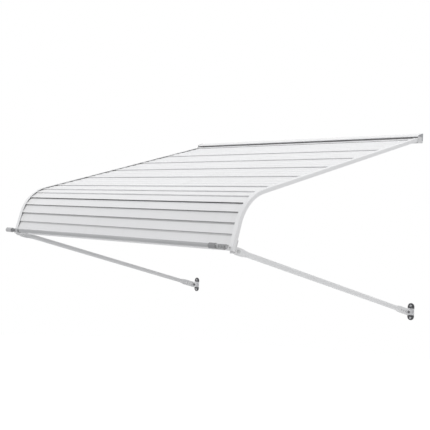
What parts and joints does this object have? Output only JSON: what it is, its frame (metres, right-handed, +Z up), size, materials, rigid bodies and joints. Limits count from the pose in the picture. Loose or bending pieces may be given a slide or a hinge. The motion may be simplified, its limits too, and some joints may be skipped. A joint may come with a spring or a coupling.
{
  "type": "aluminum door canopy",
  "caption": "Slatted metal canopy that hangs over a door from a wall header, curved down in front between bent side rails and held by two pivoting support arms.",
  "frame": {"origin": "centre of the header's back face, on the wall", "axes": "+X along the canopy's width, to the right as seen from the street; -Y out from the wall; +Z up"},
  "size_m": [1.2275, 1.068, 0.7232],
  "materials": {
    "white_paint": "smooth white baked enamel",
    "cap_grey": "satin grey",
    "sleeve_grey": "matt grey",
    "painted_tube": "satin silver grey enamel",
    "zinc_steel": "bright zinc plate",
    "foot_steel": "dark plated steel"
  },
  "bodies": {
    "canopy": {"arm_bolt_left": "zinc_steel", "arm_bolt_right": "zinc_steel", "arm_bracket_left": "painted_tube", "arm_bracket_right": "painted_tube", "arm_nut_left": "zinc_steel", "arm_nut_right": "zinc_steel", "bar_collar_left": "sleeve_grey", "bar_collar_right": "sleeve_grey", "bar_hook_left": "painted_tube", "bar_hook_right": "painted_tube", "bar_plug_left": "sleeve_grey", "bar_plug_right": "sleeve_grey", "bracket_screw_left_1": "zinc_steel", "bracket_screw_left_2": "zinc_steel", "bracket_screw_right_1": "zinc_steel", "bracket_screw_right_2": "zinc_steel", "front_bar": "painted_tube", "front_slat_1": "white_paint", "front_slat_2": "white_paint", "front_slat_3": "white_paint", "front_slat_4": "white_paint", "front_slat_5": "white_paint", "front_slat_6": "white_paint", "front_slat_7": "white_paint", "front_slat_8": "white_paint", "front_trim": "white_paint", "header_end_cap_left": "cap_grey", "header_end_cap_right": "cap_grey", "header_screw_1": "zinc_steel", "header_screw_2": "zinc_steel", "header_screw_3": "zinc_steel", "header_screw_4": "zinc_steel", "hook_rivet_left": "painted_tube", "hook_rivet_right": "painted_tube", "rail_screw_left_lower": "zinc_steel", "rail_screw_left_upper": "zinc_steel", "rail_screw_right_lower": "zinc_steel", "rail_screw_right_upper": "zinc_steel", "receiver_rail": "white_paint", "roof_pan_1": "white_paint", "roof_pan_2": "white_paint", "roof_pan_3": "white_paint", "roof_pan_4": "white_paint", "roof_pan_5": "white_paint", "side_rail_left": "white_paint", "side_rail_right": "white_paint", "wall_header": "white_paint"},
    "arm_left": {"support_arm_left": "painted_tube"},
    "foot_left": {"wall_foot_left": "foot_steel", "foot_bolt_left": "zinc_steel", "foot_nut_left": "zinc_steel", "foot_screw_left_upper": "zinc_steel", "foot_screw_left_lower": "zinc_steel"},
    "arm_right": {"support_arm_right": "painted_tube"},
    "foot_right": {"wall_foot_right": "foot_steel", "foot_bolt_right": "zinc_steel", "foot_nut_right": "zinc_steel", "foot_screw_right_upper": "zinc_steel", "foot_screw_right_lower": "zinc_steel"}
  },
  "joints": [
    {"name": "arm_left_pivot", "type": "hinge", "parent": "canopy", "child": "arm_left", "pos_m": [-0.5985, -0.99611, -0.45512], "axis": [1, 0, 0], "range_deg": [-76, 28]},
    {"name": "foot_left_pivot", "type": "hinge", "parent": "arm_left", "child": "foot_left", "pos_m": [-0.5985, -0.026, -0.671], "axis": [1, 0, 0], "range_deg": [-75, 75]},
    {"name": "arm_right_pivot", "type": "hinge", "parent": "canopy", "child": "arm_right", "pos_m": [0.5985, -0.99611, -0.45512], "axis": [1, 0, 0], "range_deg": [-76, 28]},
    {"name": "foot_right_pivot", "type": "hinge", "parent": "arm_right", "child": "foot_right", "pos_m": [0.5985, -0.026, -0.671], "axis": [1, 0, 0], "range_deg": [-75, 75]}
  ]
}
